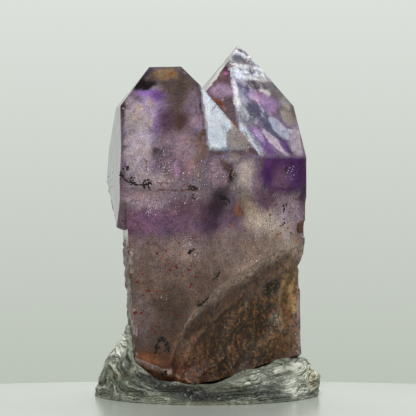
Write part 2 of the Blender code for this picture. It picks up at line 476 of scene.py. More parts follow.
# Colour by height, from the ground up: height, colour
crystalHeights = (
    (2.0, (70, 38, 22)),
    (7.0, (84, 56, 38)),
    (11.0, (88, 68, 58)),
    (17.0, (106, 88, 76)),
    (22.0, (124, 105, 95)),
    (28.0, (137, 118, 113)),
    (32.0, (118, 92, 112)),
    (34.5, (124, 98, 116)),
    (38.0, (140, 124, 134)),
    (44.0, (124, 104, 116)),
    (54.0, (112, 94, 102)),
    (62.0, (130, 118, 130)),
)

# Zones of colour: pixel where it shows, half width, half height, clockwise turn,
# colour, strength, softness. Most are the stone's colour; some are painted highlights,
# reflections or shade, marked below.
crystalZones = (
    # left termination
    ((175, 82), 3.6, 2.6, 0, (92, 80, 76), 0.85, 0.8),
    ((187, 95), 2.6, 3.0, 0, (92, 78, 70), 0.8, 0.8),
    ((141, 120), 3.4, 6.6, 4, (168, 158, 162), 0.9, 0.9),
    ((147, 103), 3.0, 2.4, 0, (166, 148, 176), 0.85, 0.8),
    ((139, 108), 0.9, 0.8, 0, (186, 166, 136), 0.6, 0.9),
    ((151, 102), 0.7, 0.6, 0, (176, 150, 128), 0.5, 0.9),
    ((135, 116), 0.8, 0.7, 0, (180, 160, 136), 0.5, 0.9),
    ((138, 97), 1.2, 0.9, 0, (98, 82, 104), 0.7, 0.8),
    ((150, 129), 0.4, 0.4, 0, (110, 98, 124), 0.7, 0.8),
    ((146, 136), 2.0, 1.2, 10, (182, 168, 188), 0.7, 0.9),
    ((132, 138), 1.2, 1.8, 0, (146, 126, 136), 0.6, 0.9),
    ((137, 160), 3.0, 4.0, 0, (182, 168, 178), 0.85, 0.9),
    ((151, 94), 2.9, 0.6, 6, (132, 98, 166), 0.85, 0.6),
    ((157, 97), 1.2, 0.8, 30, (112, 74, 146), 0.8, 0.8),
    ((147, 79), 2.1, 1.8, -50, (48, 36, 52), 0.88, 0.4),
    ((139, 84), 1.7, 0.9, -52, (26, 18, 24), 0.9, 0.4),
    ((140, 87), 2.2, 0.75, 0, (20, 13, 18), 0.95, 0.25),
    ((147, 85), 1.7, 1.0, 0, (24, 17, 22), 0.9, 0.4),
    ((152, 78), 0.8, 0.7, 0, (84, 74, 68), 0.6, 0.9),
    ((165, 74), 2.4, 1.1, 0, (154, 126, 94), 0.8, 0.9),
    ((158, 72), 0.55, 0.35, -20, (176, 136, 80), 0.8, 0.8),
    ((165, 78), 0.9, 0.3, 20, (158, 126, 80), 0.7, 0.8),
    ((175, 73), 0.4, 0.6, 0, (176, 128, 66), 0.75, 0.8),
    ((166, 71), 1.2, 0.2, 4, (170, 138, 88), 0.7, 0.8),
    ((170.5, 74.5), 0.45, 0.35, 0, (164, 76, 42), 0.8, 0.8),
    ((157, 122), 0.9, 3.4, 8, (122, 92, 146), 0.75, 0.9),
    ((178, 116), 2.2, 3.4, 20, (92, 72, 66), 0.85, 0.9),
    ((166, 120), 1.5, 2.0, 0, (84, 60, 84), 0.8, 0.9),
    ((180, 120), 1.2, 1.6, 0, (78, 52, 50), 0.8, 0.8),
    ((192, 104), 1.4, 2.4, 0, (150, 130, 150), 0.6, 0.9),
    ((199, 106), 0.5, 1.2, 0, (64, 40, 46), 0.85, 0.7),
    ((197, 122), 1.2, 1.4, 0, (160, 140, 156), 0.7, 0.8),
    ((203, 140), 0.9, 3.2, 6, (96, 72, 54), 0.85, 0.7),
    ((197, 150), 1.4, 2.4, 10, (134, 110, 92), 0.8, 0.8),
    ((180, 147), 3.2, 2.6, 0, (164, 140, 152), 0.75, 0.9),
    ((156, 149), 0.6, 0.5, 0, (62, 46, 56), 0.9, 0.6),
    ((163, 153), 2.0, 1.3, 0, (100, 86, 94), 0.7, 0.8),
    ((157, 170), 1.4, 2.0, 0, (136, 110, 136), 0.7, 0.9),
    ((152, 180), 3.2, 1.4, 0, (178, 164, 166), 0.75, 0.9),
    ((177, 170), 0.7, 1.3, 0, (196, 152, 196), 0.7, 0.9),
    ((190, 168), 0.9, 1.4, 0, (168, 130, 154), 0.5, 0.9),
    ((200, 172), 1.3, 1.8, 0, (140, 126, 128), 0.7, 0.8),
    ((122.5, 112), 0.5, 2.8, 0, (40, 30, 46), 0.85, 0.6),
    ((122.5, 138), 0.5, 3.0, 0, (84, 74, 90), 0.8, 0.6),
    ((122.5, 175), 0.5, 4.0, 0, (110, 84, 108), 0.7, 0.7),
    # middle
    ((146, 201), 4.2, 1.6, 0, (180, 158, 168), 0.7, 0.9),
    ((150, 223), 6.5, 2.0, 0, (134, 98, 128), 0.8, 0.9),
    ((186, 206), 2.8, 2.0, 0, (110, 80, 92), 0.65, 0.9),
    ((217, 172), 2.0, 2.6, 0, (180, 150, 164), 0.75, 0.9),
    ((219, 203), 1.6, 3.8, 22, (36, 20, 36), 0.85, 1.0),
    ((208, 218), 1.6, 3.0, 0, (76, 54, 76), 0.8, 0.9),
    ((228, 168), 0.8, 3.4, -32, (86, 58, 48), 0.9, 0.7),
    ((232, 177), 0.9, 1.0, 0, (28, 16, 20), 0.9, 0.7),
    ((247, 178), 2.1, 3.3, 0, (228, 212, 204), 0.88, 0.9),
    ((243, 192), 1.6, 1.6, 0, (150, 132, 122), 0.7, 0.9),
    ((257, 180), 0.9, 3.4, 0, (142, 112, 134), 0.75, 0.8),
    ((284, 174), 4.3, 3.6, 0, (104, 60, 122), 0.95, 0.35),
    ((285, 160), 4.0, 0.9, 0, (92, 46, 118), 0.85, 0.6),
    ((303, 180), 0.9, 5.0, 0, (72, 38, 80), 0.85, 0.7),
    ((267, 170), 0.9, 2.6, 0, (104, 52, 132), 0.85, 0.7),
    ((281, 181), 1.6, 1.8, 0, (138, 104, 138), 0.7, 0.9),
    ((268, 198), 2.6, 1.5, 0, (124, 90, 120), 0.7, 0.9),
    ((238, 211), 0.42, 1.0, 0, (190, 112, 60), 0.7, 0.9),
    ((233, 225), 0.34, 0.55, 0, (180, 112, 64), 0.65, 0.9),
    ((246, 208), 1.6, 2.2, 0, (120, 98, 78), 0.75, 0.9),
    ((252, 213), 1.5, 2.6, -20, (200, 180, 160), 0.75, 1.0),
    ((269, 224), 4.0, 2.4, 0, (236, 222, 204), 0.88, 1.2),
    ((240, 236), 4.0, 1.8, 0, (164, 142, 136), 0.75, 1.0),
    ((218, 250), 3.4, 2.2, 0, (150, 128, 118), 0.7, 1.0),
    ((262, 243), 4.0, 1.6, -20, (158, 140, 124), 0.6, 1.0),
    ((288, 212), 2.6, 2.8, 0, (188, 168, 180), 0.8, 1.0),
    ((300, 227), 0.8, 1.6, 0, (140, 92, 70), 0.8, 0.8),
    ((301, 222), 0.5, 0.5, 0, (206, 130, 84), 0.7, 0.8),
    ((301, 233), 0.6, 0.4, 0, (60, 34, 26), 0.8, 0.8),
    ((297, 241), 0.9, 0.7, 0, (150, 92, 66), 0.7, 0.9),
    ((292, 252), 1.6, 1.6, 0, (150, 134, 112), 0.8, 0.9),
    ((286, 239), 0.45, 1.1, 0, (214, 212, 206), 0.75, 0.9),
    ((288, 246), 2.6, 2.2, 0, (196, 178, 160), 0.7, 1.0),
    ((231, 158), 1.8, 0.9, 0, (190, 174, 174), 0.7, 0.9),
    # stem
    ((142, 335), 2.8, 4.6, 0, (92, 76, 72), 0.5, 0.9),
    ((140, 296), 2.4, 3.0, 0, (122, 106, 94), 0.5, 0.9),
    ((184, 251), 3.0, 2.0, 0, (172, 150, 144), 0.7, 1.0),
    ((174, 312), 3.0, 4.0, 20, (88, 72, 66), 0.7, 0.9),
    ((202, 282), 1.8, 1.6, -20, (106, 88, 78), 0.6, 0.9),
    ((252, 258), 5.0, 2.0, -30, (170, 148, 134), 0.75, 1.0),
    # pale zones along the ridge on the stem side: painted highlight of the ridge's edge
    ((283, 260), 2.6, 0.9, -25, (168, 148, 128), 0.8, 0.7),
    ((254, 264), 4.4, 0.8, -28, (186, 162, 148), 0.75, 0.8),
    ((226, 283), 3.0, 0.7, -40, (154, 132, 120), 0.7, 0.8),
    ((197, 308), 3.0, 0.6, -54, (130, 110, 100), 0.6, 0.8),
    ((127, 290), 0.9, 12.0, 0, (84, 62, 50), 0.85, 0.8),
    ((141, 314), 2.4, 4.4, 0, (142, 122, 122), 0.5, 0.9),
    # breakage
    ((236, 296), 4.6, 1.1, -36, (104, 78, 66), 0.85, 0.6),
    ((205, 322), 3.0, 1.2, -52, (104, 80, 68), 0.8, 0.7),
    ((248, 322), 5.6, 4.6, -20, (48, 30, 6), 0.95, 0.9),
    ((232, 350), 4.0, 2.6, -10, (62, 40, 18), 0.8, 0.9),
    # near black spot: painted shade in the hollow below the ridge
    ((275, 287), 2.3, 1.2, -34, (10, 8, 6), 0.98, 0.7),
    ((268, 274), 3.0, 0.7, -34, (96, 76, 54), 0.8, 0.7),
    ((290, 297), 1.4, 4.8, 0, (140, 106, 56), 0.9, 0.8),
    ((288, 286), 0.8, 1.6, 12, (168, 136, 84), 0.7, 0.9),
    ((294, 303), 0.6, 2.0, -6, (176, 150, 104), 0.7, 0.9),
    ((285, 300), 0.5, 2.2, 10, (90, 64, 32), 0.6, 0.9),
    ((289, 262), 1.4, 1.4, 0, (140, 118, 84), 0.8, 0.8),
    ((290, 313), 1.0, 0.8, 20, (100, 52, 28), 0.85, 0.8),
    ((276, 320), 1.4, 1.0, 20, (142, 132, 104), 0.75, 0.9),
    ((294, 338), 1.4, 2.4, 0, (132, 108, 76), 0.8, 0.9),
    ((299, 338), 0.6, 1.6, 0, (158, 142, 118), 0.7, 0.9),
    ((275, 342), 2.8, 2.6, 0, (92, 64, 26), 0.75, 0.9),
    ((268, 330), 2.0, 1.8, 0, (46, 28, 2), 0.8, 1.0),
    ((212, 344), 3.0, 3.4, -30, (66, 44, 26), 0.85, 0.9),
    ((188, 348), 1.2, 3.6, 28, (134, 98, 66), 0.8, 0.8),
    ((165, 368), 6.4, 2.6, 12, (90, 38, 10), 0.92, 0.9),
    ((150, 360), 3.2, 0.8, 8, (150, 92, 56), 0.75, 0.9),
    ((182, 343), 1.2, 3.0, 32, (158, 112, 80), 0.7, 0.9),
    ((196, 352), 2.0, 1.6, -20, (120, 84, 56), 0.6, 1.0),
    ((240, 364), 7.6, 1.8, -12, (50, 28, 10), 0.92, 0.9),
)

# The narrow left face of the left termination, all of it
leftSliver = (((112, 160), 30.0, 30.0, 0, (122, 110, 122), 0.4, 0.1),)

# Zones that stay on one face: hull and number of the face in it, then zones as above
faceZones = (
    ("leftTip", 5, leftSliver),
    ("leftTip", 13, leftSliver),
    # right face of the left tip: the pale bluish wash and white streaks are painted reflection of
    # the bluish softbox, over its real reflection; the last zone is an etched patch
    ("leftTip", 7, (
        ((214, 122), 6.0, 9.0, 0, (172, 184, 194), 0.92, 0.1),
        ((206, 100), 0.5, 3.0, -8, (214, 220, 228), 0.7, 0.8),
        ((218, 128), 1.2, 2.6, -20, (170, 182, 192), 0.6, 0.9),
        ((218, 146), 2.0, 0.5, 0, (206, 210, 212), 0.6, 0.6),
        ((238.5, 140), 2.1, 2.9, 0, (160, 150, 146), 0.95, 0.12),
    )),
    ("rightTip", 6, (
        ((220, 76), 3.0, 4.0, 35, (112, 88, 96), 0.9, 0.4),
        ((227, 68), 0.6, 2.0, 0, (63, 47, 56), 0.85, 0.7),
        ((226, 73), 0.4, 0.3, 0, (220, 130, 205), 0.6, 0.9),
        ((224, 66), 0.35, 1.0, 30, (52, 38, 48), 0.8, 0.7),
        ((222, 91), 2.2, 1.3, 0, (181, 154, 188), 0.9, 0.6),
        ((230, 112), 1.6, 3.2, -18, (104, 90, 100), 0.92, 0.4),
        ((217, 101), 0.75, 0.35, 30, (150, 74, 30), 0.9, 0.6),
        ((221, 104), 0.6, 0.3, 60, (122, 54, 24), 0.9, 0.6),
        ((224, 108), 0.4, 0.2, 50, (216, 150, 100), 0.8, 0.7),
        ((222.5, 100), 0.12, 0.7, 20, (200, 170, 160), 0.7, 0.6),
        ((235, 124), 0.7, 0.4, 45, (150, 92, 44), 0.8, 0.7),
    )),
    # a thin white line: painted highlight along the edge
    ("rightTip", 11, (
        ((216.5, 76), 0.2, 2.6, 35, (252, 254, 252), 0.95, 0.3),
    )),
    # On the right face of the right tip, the pale bluish streaks and bands and the small white
    # spots are painted reflections and glints.
    ("rightTip", 7, (
        ((262, 110), 12.0, 12.0, 0, (147, 129, 161), 0.85, 0.1),
        ((243, 56), 4.2, 2.6, 0, (238, 243, 246), 0.9, 0.4),
        ((238, 59), 1.4, 0.9, 30, (72, 79, 93), 0.9, 0.6),
        ((244, 62), 1.5, 0.4, 20, (112, 119, 132), 0.8, 0.6),
        ((251, 65), 1.6, 0.35, 8, (104, 110, 122), 0.8, 0.5),
        ((250, 52), 0.9, 0.7, 0, (246, 246, 246), 0.8, 0.8),
        ((249, 73), 5.2, 1.35, 8, (210, 217, 226), 0.95, 0.15),
        ((246, 70), 3.0, 0.22, 7, (161, 167, 181), 0.8, 0.5),
        ((252, 76), 3.0, 0.2, 8, (172, 172, 188), 0.8, 0.5),
        ((258, 79), 2.8, 0.25, 9, (246, 246, 246), 0.8, 0.5),
        ((241, 88), 2.2, 1.7, 12, (80, 62, 108), 0.9, 0.5),
        ((256, 85), 3.2, 0.75, 16, (106, 93, 102), 0.9, 0.4),
        ((276, 90), 2.6, 1.3, 40, (140, 140, 149), 0.85, 0.6),
        ((285, 99), 2.2, 1.1, 52, (156, 149, 147), 0.85, 0.6),
        ((267, 93), 0.7, 0.45, 25, (246, 246, 246), 0.95, 0.5),
        ((262, 91), 0.6, 0.25, 25, (235, 240, 244), 0.9, 0.5),
        ((262, 102), 3.0, 1.5, 30, (192, 158, 210), 0.9, 0.6),
        ((256, 101), 1.2, 0.8, 20, (219, 183, 224), 0.8, 0.8),
        ((235, 92), 0.55, 2.4, -10, (244, 238, 246), 0.95, 0.3),
        ((237, 104), 0.9, 1.3, -14, (246, 244, 246), 0.9, 0.4),
        ((245, 116), 1.8, 2.2, -24, (147, 151, 161), 0.9, 0.5),
        ((250, 112), 1.0, 1.6, -24, (111, 115, 129), 0.85, 0.7),
        ((266, 122), 1.0, 5.0, -41, (106, 102, 130), 0.95, 0.2),
        ((258, 108), 0.9, 2.4, -50, (97, 93, 127), 0.85, 0.5),
        ((262, 141), 1.1, 3.4, -40, (136, 100, 168), 0.92, 0.2),
        ((258, 134), 0.6, 1.6, -40, (208, 181, 235), 0.8, 0.6),
        ((250, 139), 0.95, 3.9, -38, (176, 182, 198), 0.96, 0.12),
        ((276, 143), 0.62, 3.4, -45, (229, 219, 246), 0.95, 0.15),
        ((279, 128), 0.85, 2.7, -42, (213, 219, 240), 0.94, 0.2),
        ((285, 146), 0.6, 2.0, -38, (102, 68, 136), 0.9, 0.4),
        ((281, 110), 0.6, 0.7, 0, (81, 65, 59), 0.85, 0.7),
        ((290, 114), 1.6, 1.9, -20, (166, 158, 146), 0.9, 0.5),
        ((286, 105), 0.8, 0.5, 20, (195, 185, 183), 0.8, 0.7),
        ((294, 112), 0.8, 1.6, -20, (93, 83, 77), 0.8, 0.7),
        ((291, 131), 0.6, 0.4, 0, (246, 246, 246), 0.85, 0.7),
        ((297, 142), 1.3, 2.6, -8, (208, 198, 208), 0.9, 0.4),
        ((303, 142), 0.4, 3.0, -6, (127, 115, 127), 0.8, 0.6),
        ((237, 146), 2.4, 2.2, -25, (163, 149, 142), 0.95, 0.15),
        ((233, 138), 0.6, 0.8, 0, (127, 97, 77), 0.8, 0.8),
    )),
)

# Etched patches that are dull: pixel, half width, half height, turn, softness
mattPatches = {
    ("leftTip", 7): (((238.5, 140), 2.1, 2.9, 0, 0.12),),
    ("rightTip", 7): (((243, 56), 3.6, 2.2, 0, 0.4), ((292, 112), 2.0, 3.0, -20, 0.5)),
}

# Haze: pixel, half width, half height, turn, share of light let through there
crystalClearness = (
    ((140, 125), 4.0, 8.0, 0, 0.12),
    ((284, 176), 4.5, 4.2, 0, 0.6),
    ((126, 290), 1.0, 12.0, 0, 0.05),
    ((248, 64), 5.0, 3.6, 10, 0.08),
    ((262, 110), 5.0, 6.0, 20, 0.4),
    ((250, 330), 6.0, 6.0, 0, 0.3),
)

crystalFinish = {
    "faceSkin": 0.12,                   # how close to a face a point counts as on it
    "waver": 0.4,                       # how far the zones' edges wander, and on a single face
    "faceWaver": 0.09,
    "waverNoise": (1.6, 4, 101),        # noises: size, layers, seed
    "ridge": (0.95, 0.7),               # strength of a ridge's colour, share of its width
    "ridgeDepth": (0.1, 0.4),
    # the rim: a painted highlight along the edge where the breakage starts
    "rimHighlight": (228, 202, 194),       # pale rim where the breakage starts
    "rimStrength": 0.95,
    "rimDepths": ((0.03, 0.12), (1.1, 0.4)),
    "rimTop": (31.0, 28.5),
    "rimNoise": (1.6, 1, 131),
    "rimStreaks": (0.55, 0.45),         # least strength, and what the noise adds
    "mottle": 0.22,                     # lighter and darker
    "mottleNoise": (1.2, 3, 141),
    "mottleHue": 0.09,                  # browner and more violet
    "hueNoise": (1.9, 3, 151),
    "hueShares": (0.8, 0.1, -0.9),
    "brightest": 0.95,
    "clear": 0.35,                      # share of light let through
    "clearSoftness": 0.8,
    "ior": 1.544,
    "absorption": (0.72, 0.58, 0.80),
    "density": 22.0,                    # per metre
    "roughness": (0.045, 0.135),        # where glassy and where slightly worn
    "brokenRoughness": 0.6,
}


def pictureOf(points):
    # pixel where each point shows to the camera
    tilt = math.radians(cameraSetup["pitch"])
    offset = points - np.array(cameraSetup["place"]) * mm
    ahead = offset[:, 1] * math.cos(tilt) - offset[:, 2] * math.sin(tilt)
    rise = offset[:, 1] * math.sin(tilt) + offset[:, 2] * math.cos(tilt)
    half, reach = cameraSetup["pictureSide"] / 2, cameraSetup["pixelsPerUnit"]
    return np.stack([half + reach * offset[:, 0] / ahead, half - reach * rise / ahead], axis=1)


def zoneAmount(seen, zone, softness):
    # 1 inside an ellipse about a pixel, easing to 0 at its rim
    (x, y), width, height, turn = zone
    angle = math.radians(turn)
    across, down = (seen[:, 0] - x) * pixelSize, (seen[:, 1] - y) * pixelSize
    along = (across * math.cos(angle) + down * math.sin(angle)) / width
    up = (-across * math.sin(angle) + down * math.cos(angle)) / height
    return smoothStep(1.0 + 0.5 * softness, 1.0 - 0.6 * softness, np.hypot(along, up))


def layOver(colour, shade, amount, light=1.0):
    # the shade, times the light, laid over the colour by an amount for each point
    amount = amount[:, None]
    return colour * (1.0 - amount) + amount * light * np.array(tint(*shade)[:3])


def paintZones(colour, seen, zones, share=1.0, light=1.0):
    # each zone laid over the ones before, by its strength and the share
    for *zone, shade, strength, softness in zones:
        amount = strength * share * zoneAmount(seen, zone, softness)
        colour = layOver(colour, shade, amount, light)
    return colour


def paintCrystal(mesh, setup):
    # colour and clearness of every point: by height, then each zone over the ones before
    points = readRows(mesh, "co")
    size, layers, seed = setup["waverNoise"]
    wander = [layeredNoise(points, size, layers, seed + axis) for axis in range(2)]
    wander = np.stack(wander, axis=1) / pixelSize
    onPicture = pictureOf(points)
    seen, seenOnFace = (onPicture + wander * setup[name] for name in ("waver", "faceWaver"))
    heights = np.array([height for height, _ in crystalHeights]) * mm
    shades = np.array([tint(*shade)[:3] for _, shade in crystalHeights]).T
    colour = np.stack([np.interp(points[:, 2], heights, shade) for shade in shades], axis=1)
    colour = paintZones(colour, seen, crystalZones)
    below = depthBelowGrown(points)
    nearFace = setup["faceSkin"] * mm
    matt = np.zeros(len(points))
    for hull, face, zones in faceZones:
        here = (np.abs(hullDepths(points, hull)[:, face]) < nearFace) & (below < nearFace)
        colour = paintZones(colour, seenOnFace, zones, here)
        for *zone, softness in mattPatches.get((hull, face), ()):
            matt = np.maximum(matt, zoneAmount(seenOnFace, zone, softness) * here)
    storeMask(mesh, "matt", matt)
    strength, share = setup["ridge"]
    for corners, width, _, shade in brokenRidges:
        amount = strength * np.exp(-(lineDistance(seen, corners) / (share * width)) ** 2)
        colour = layOver(colour, shade, amount * easeBetween(*setup["ridgeDepth"], below))
    # the pale rim, a painted highlight along the edge of the break, on faces that look to the front
    start, end = setup["rimDepths"]
    rim = easeBetween(*start, below) * easeBetween(*end, below)
    rim *= smoothStep(0.2, -0.2, readRows(mesh, "normal")[:, 1])
    rim *= easeBetween(*setup["rimTop"], points[:, 2])
    least, added = setup["rimStreaks"]
    rim *= least + added * layeredNoise(points, *setup["rimNoise"])
    colour = layOver(colour, setup["rimHighlight"], setup["rimStrength"] * rim)
    shade = 1.0 + setup["mottle"] * layeredNoise(points, *setup["mottleNoise"])[:, None]
    warmth = setup["mottleHue"] * layeredNoise(points, *setup["hueNoise"])[:, None]
    colour = colour * shade * (1.0 + warmth * np.array(setup["hueShares"]))
    storeColour(mesh, np.clip(colour, 0.0, setup["brightest"]))
    clear = np.full(len(points), setup["clear"])
    for *zone, share in crystalClearness:
        amount = zoneAmount(seen, zone, setup["clearSoftness"])
        clear = clear * (1.0 - amount) + amount * share
    storeMask(mesh, "clear", clear)


# Grain: size, detail, roughness and place of a noise, then steps of from, to, strength, factors
crystalGrain = (
    (1.4, 6.0, 0.72, (0, 0, 0),
     (0.5, 0.72, 0.6, (1.55, 1.5, 1.55)), (0.47, 0.3, 0.6, (0.5, 0.46, 0.5))),
    (0.5, 4.0, 0.75, (0.06, 0.02, 0.01),
     (0.52, 0.66, 0.75, (1.5, 1.3, 1.1)), (0.48, 0.34, 0.75, (0.6, 0.5, 0.68))),
    (0.2, 3.0, 0.75, (0, 0, 0),
     (0.53, 0.66, 0.85, (0.3, 0.26, 0.3)), (0.46, 0.32, 0.7, (2.2, 2.1, 2.15))),
)

# Iron stain on the breakage: noise, from, to, strength, how broken it starts and is whole, colours
ironStain = (
    ((0.8, 5.0, 0.75, (0.0, 0.03, 0.01), (0.6, 0.6, 1.6)), 0.5, 0.6, 0.8, None, ((26, 18, 7),)),
    ((0.95, 6.0, 0.72, (0.02, 0.01, 0.0)), 0.53, 0.64, 0.75, (0.2, 0.9),
     ((206, 132, 76), (132, 76, 36))),
    ((0.7, 5.0, 0.75, (0.04, 0.0, 0.02)), 0.54, 0.64, 0.65, None, ((164, 134, 76),)),
)


def crystalMaterial(setup):
    # painted colour with grain and stain, let through by plain transmission and absorption
    sheet = NodeSheet("amethyst")
    colour = sheet.attribute("tone", "Color")
    broken = sheet.attribute("broken")
    for size, detail, rough, place, *steps in crystalGrain:
        spots = sheet.noise(size, detail, rough, place)
        for low, high, strength, factors in steps:
            colour = sheet.scaled(colour, factors, sheet.ease(spots, low, high, 0.0, strength))
    for noise, low, high, strength, start, shades in ironStain:
        where = sheet.ease(broken, *start) if start else broken
        amount = sheet.ease(sheet.noise(*noise), low, high, 0.0, strength)
        shade = tint(*shades[0])
        if len(shades) == 2:
            shade = sheet.blend(sheet.noise(0.5, 2.0), shade, tint(*shades[1]))
        colour = sheet.blend(sheet.maths("MULTIPLY", amount, where), colour, shade)
    sheet.put(sheet.shader.inputs["Base Color"], colour)
    sheet.put(sheet.shader.inputs["Transmission Weight"], sheet.attribute("clear"))
    sheet.shader.inputs["IOR"].default_value = setup["ior"]
    # glassy faces with slight wear, dull where broken or etched
    glassy, worn = setup["roughness"]
    smooth = sheet.ease(sheet.noise(0.7, 4.0, 0.6), 0.45, 0.75, glassy, worn)
    node = sheet.nodes.new("ShaderNodeMix")
    sheet.put(node.inputs["Factor"], sheet.maths("MAXIMUM", broken, sheet.attribute("matt")))
    sheet.put(node.inputs[2], smooth)
    node.inputs[3].default_value = setup["brokenRoughness"]
    sheet.put(sheet.shader.inputs["Roughness"], node.outputs[0])
    # fine breakage, shallow pits, and growth lines that lie level on the prism faces
    bumps = sheet.bump(sheet.maths("MULTIPLY", sheet.noise(0.35, 4.0, 0.6), broken), 0.16, 0.9)
    bumps = sheet.bump(sheet.noise(0.5, 2.0, 0.5), 0.012, 0.5, bumps)
    bumps = sheet.bump(sheet.noise(1.0, 4.0, 0.6, stretch=(9.0, 9.0, 0.45)), 0.02, 0.4, bumps)
    sheet.put(sheet.shader.inputs["Normal"], bumps)
    soak = sheet.nodes.new("ShaderNodeVolumeAbsorption")
    soak.inputs["Color"].default_value = (*setup["absorption"], 1.0)
    soak.inputs["Density"].default_value = setup["density"]
    sheet.links.new(soak.outputs[0], sheet.output.inputs["Volume"])
    return sheet.material


crystalSkin = makeCrystal(crystalMake, crystalMaterial(crystalFinish))
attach(crystalSkin, "root")
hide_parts("amethyst_crystal")


# Inclusions: flat flakes set into the skin

skinTree = BVHTree.FromObject(crystalSkin, bpy.context.evaluated_depsgraph_get())
random = np.random.default_rng(7)
rayStart = 100.0                # distance from the axis where the level rays start
raggedRing = (0.7, 1.25)        # least and most of a flake's half width at its corners


def castOnSkin(starts, looks):
    # places and normals where rays meet the finished skin, not-a-number where they miss it
    rows = []
    for start, look in zip(starts, looks):
        place, normal, _, _ = skinTree.ray_cast(start, look)
        rows.append((*place, *normal) if place else (np.nan,) * 6)
    return np.array(rows)[:, :3], np.array(rows)[:, 3:]


def seenOnSkin(spots):
    # where the camera sees the skin through each pixel
    return castOnSkin([cameraPlace] * len(spots), [lookThrough(x, y) for x, y in spots])


def aroundSkin(count, sector, heights):
    # where level rays towards the axis meet the skin, from random azimuths and heights
    turns, heights = random.uniform(*sector, count), random.uniform(*heights, count)
    outward = [Vector((math.sin(turn), -math.cos(turn), 0.0)) for turn in np.radians(turns)]
    starts = [away * rayStart * mm for away in outward]
    for start, height in zip(starts, heights):
        start.z = height * mm
    return castOnSkin(starts, [-away for away in outward])


def spread(boxes):
    # random pixels in boxes, given as left, top, right, bottom, count
    return np.concatenate([
        np.column_stack([random.uniform(left, right, count), random.uniform(top, bottom, count)])
        for left, top, right, bottom, count in boxes
    ])


def alongLines(setup):
    # pixels along lines, a gap apart, each moved a little; and the lines' slopes there
    spots, slopes = [], []
    for corners in setup["lines"]:
        corners = np.array(corners, dtype=float)
        steps = np.hypot(*np.diff(corners, axis=0).T)
        run = np.concatenate([[0.0], np.cumsum(steps)])
        at = np.arange(0.0, run[-1], setup["gap"])
        here, ahead = (np.column_stack([np.interp(way, run, corners[:, axis]) for axis in range(2)])
                       for way in (at, at + 0.5))
        spots.append(here + random.normal(0.0, setup["jitter"], here.shape))
        slopes.append(np.degrees(np.arctan2(-(ahead - here)[:, 1], (ahead - here)[:, 0])))
    return np.concatenate(spots), np.concatenate(slopes)


def drawn(spec, count):
    # one number for all, random ones between two, or a bell about a middle: middle, spread, "bell"
    if isinstance(spec, float):
        return np.full(count, spec)
    if len(spec) == 3:
        return random.normal(*spec[:2], count)
    return random.uniform(*spec, count)


def makeFlakes(name, setup, material, hits, lengths, widths, turns):
    # each flake is a double pyramid: a ragged ring of corners, one point above and one below
    places, normals = hits
    known = ~np.isnan(places[:, 0])
    places, normals, turns = places[known], normals[known], np.radians(turns[known])[:, None]
    lengths, widths = lengths[known] * mm, widths[known] * mm
    level = np.cross(normals, (0.0, 0.0, 1.0))
    level /= np.linalg.norm(level, axis=1)[:, None] + 1e-9
    along = level * np.cos(turns) + np.cross(level, normals) * np.sin(turns)
    across = np.cross(normals, along)
    sides = setup["sides"]
    corners = np.linspace(0.0, 2.0 * math.pi, sides, endpoint=False)
    ragged = random.uniform(*raggedRing, (len(places), sides))
    ring = (
        places[:, None, :]
        + along[:, None, :] * (lengths[:, None] * 0.5 * np.cos(corners) * ragged)[:, :, None]
        + across[:, None, :] * (widths[:, None] * 0.5 * np.sin(corners) * ragged)[:, :, None]
        + normals[:, None, :] * setup["lift"] * mm
    )
    top = places + normals * (setup["lift"] + setup["thickness"]) * mm
    bottom = places - normals * setup["thickness"] * mm
    points = np.concatenate([ring, top[:, None, :], bottom[:, None, :]], axis=1)
    side = np.arange(sides)
    after = np.roll(side, -1)
    upper = np.stack([side, after, np.full(sides, sides)], axis=1)
    lower = np.stack([after, side, np.full(sides, sides + 1)], axis=1)
    pattern = np.concatenate([upper, lower])
    faces = pattern[None, :, :] + (np.arange(len(places)) * (sides + 2))[:, None, None]
    piece = meshObject(name, points.reshape(-1, 3), faces.reshape(-1, 3), material)
    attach(piece, "root")
    print(name + ":", len(places))


def flakeMaterial(name, setup):
    # two colours in patches, rougher in one of them, over a very fine bump
    sheet = NodeSheet(name)
    first, second = (tint(*colour) for colour in setup["colours"])
    patch = sheet.noise(setup["patch"], 3.0, 0.6)
    rough = setup["roughness"]
    colour = sheet.blend(sheet.ease(patch, 0.35, 0.65), first, second)
    sheet.put(sheet.shader.inputs["Base Color"], colour)
    sheet.put(sheet.shader.inputs["Roughness"], sheet.ease(patch, 0.3, 0.7, rough, rough * 1.8))
    sheet.put(sheet.shader.inputs["Normal"], sheet.bump(sheet.noise(0.15, 2.0), 0.02, 0.5))
    return sheet.material


def addFlakes(name, setup, material, spots, turns=None):
    # flakes at pixels: lengths in mm, widths in mm or as a share of the length, turns in degrees
    count = len(spots)
    hits = seenOnSkin(spots)
    long = drawn(setup["length"], count)
    if "larger" in setup:
        limit, times = setup["larger"]
        long = long * np.where(random.random(count) > limit, times, 1.0)
    if "width" in setup:
        wide = drawn(setup["width"], count)
    else:
        wide = long * drawn(setup["narrow"], count)
    if turns is None:
        turns = drawn(setup["turn"], count)
    makeFlakes(name, setup, material, hits, long, wide, turns)


